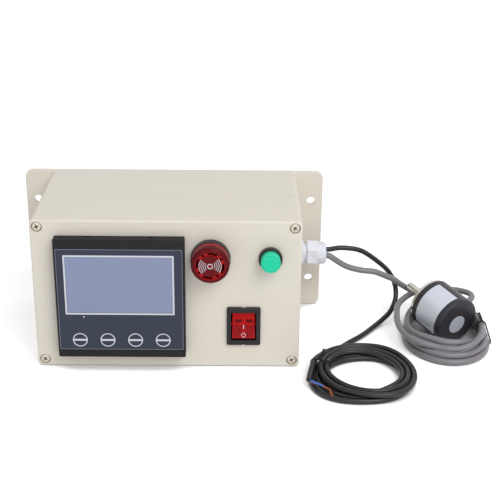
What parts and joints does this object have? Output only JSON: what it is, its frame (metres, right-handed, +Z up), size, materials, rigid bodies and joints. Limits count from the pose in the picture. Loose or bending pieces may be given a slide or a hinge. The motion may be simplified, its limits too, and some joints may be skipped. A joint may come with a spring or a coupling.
{
  "type": "electronic length counter",
  "caption": "Panel length counter in a grey wall box with reset button, buzzer and power rocker, and a cabled rotary sensor with its mains lead.",
  "frame": {"origin": "on the standing surface, midway between the sides and between the front and back of the box", "axes": "+X to the right seen from the front, where the cables leave, +Y from the front panel to the mounting plate, +Z up"},
  "size_m": [0.3789, 0.1757, 0.12],
  "materials": {
    "box_plastic": "fine moulded grain, warm light grey",
    "dark_plastic": "fine moulded grain, near black",
    "gloss_dark": "smooth black",
    "front_film": "satin printed film, slate blue",
    "display": "blank display behind a clear window",
    "red_plastic": "translucent red, polished",
    "green_plastic": "bright green, smooth",
    "gland_plastic": "pale grey, semi-matt",
    "rubber_black": "matt",
    "grey_jacket": "satin cable jacket, mid grey",
    "black_jacket": "satin cable jacket, black",
    "blue_core": "smooth core insulation",
    "brown_core": "smooth core insulation",
    "sensor_paint": "fine black coat on an aluminium cover",
    "machined_metal": "turned, bright",
    "brass_metal": "stamped",
    "board_green": "solder mask"
  },
  "bodies": {
    "box": {"rear_case": "box_plastic", "front_cover": "box_plastic", "case_gasket": "rubber_black", "cover_screw_1": "machined_metal", "cover_screw_2": "machined_metal", "cover_screw_3": "machined_metal", "cover_screw_4": "machined_metal", "counter_bezel": "dark_plastic", "counter_film": "front_film", "counter_glass": "display", "counter_board": "board_green", "counter_case": "dark_plastic", "counter_terminals": "board_green", "counter_clip_left": "dark_plastic", "counter_clip_right": "dark_plastic", "buzzer_body": "dark_plastic", "buzzer_lens": "red_plastic", "buzzer_seal": "rubber_black", "buzzer_sounder": "brass_metal", "buzzer_nut": "dark_plastic", "reset_collar": "gloss_dark", "reset_spring": "machined_metal", "reset_nut": "dark_plastic", "reset_contacts": "dark_plastic", "switch_frame": "gloss_dark", "switch_tab_1": "brass_metal", "switch_tab_2": "brass_metal", "switch_tab_3": "brass_metal", "switch_tab_4": "brass_metal", "gland_body": "gland_plastic", "gland_cap": "gland_plastic", "gland_insert": "rubber_black", "gland_locknut": "gland_plastic", "sensor_housing": "sensor_paint", "sensor_flange": "machined_metal", "front_bearing_outer": "machined_metal", "rear_bearing_outer": "machined_metal", "sensor_board": "board_green", "sensor_boot": "rubber_black", "sensor_cord_lead": "grey_jacket", "sensor_cord_coil": "grey_jacket", "sensor_cord_tail": "grey_jacket", "sensor_cord_tie": "rubber_black", "power_cord_lead": "black_jacket", "power_cord_coil": "black_jacket", "power_cord_tie": "rubber_black", "blue_core": "blue_core", "brown_core": "brown_core"},
    "reset_button": {"reset_cap": "green_plastic"},
    "power_rocker": {"switch_rocker": "red_plastic"},
    "sensor_rotor": {"sensor_shaft": "machined_metal", "front_bearing_inner": "machined_metal", "rear_bearing_inner": "machined_metal", "code_hub": "brass_metal", "code_disc": "machined_metal"},
    "key_1": {"counter_key_1": "front_film"},
    "key_2": {"counter_key_2": "front_film"},
    "key_3": {"counter_key_3": "front_film"},
    "key_4": {"counter_key_4": "front_film"}
  },
  "joints": [
    {"name": "reset_press", "type": "slide", "parent": "box", "child": "reset_button", "axis": [0, 1, 0], "range_m": [0, 0.0025], "stiffness_N_per_m": 400, "springref_m": -0.001, "deforming": ["reset_spring"]},
    {"name": "power_rock", "type": "hinge", "parent": "box", "child": "power_rocker", "pos_m": [0.0574, -0.0547, 0.0352], "axis": [1, 0, 0], "range_deg": [0, 22.6]},
    {"name": "sensor_spin", "type": "hinge", "parent": "box", "child": "sensor_rotor", "pos_m": [0.2111, 0.0077, 0.0247], "axis": [-0.5193, 0.8408, 0.153], "continuous": true},
    {"name": "key_1_press", "type": "slide", "parent": "box", "child": "key_1", "axis": [0, 1, 0], "range_m": [0, 0.00025], "stiffness_N_per_m": 1500, "springref_m": -0.0001},
    {"name": "key_2_press", "type": "slide", "parent": "box", "child": "key_2", "axis": [0, 1, 0], "range_m": [0, 0.00025], "stiffness_N_per_m": 1500, "springref_m": -0.0001},
    {"name": "key_3_press", "type": "slide", "parent": "box", "child": "key_3", "axis": [0, 1, 0], "range_m": [0, 0.00025], "stiffness_N_per_m": 1500, "springref_m": -0.0001},
    {"name": "key_4_press", "type": "slide", "parent": "box", "child": "key_4", "axis": [0, 1, 0], "range_m": [0, 0.00025], "stiffness_N_per_m": 1500, "springref_m": -0.0001}
  ]
}
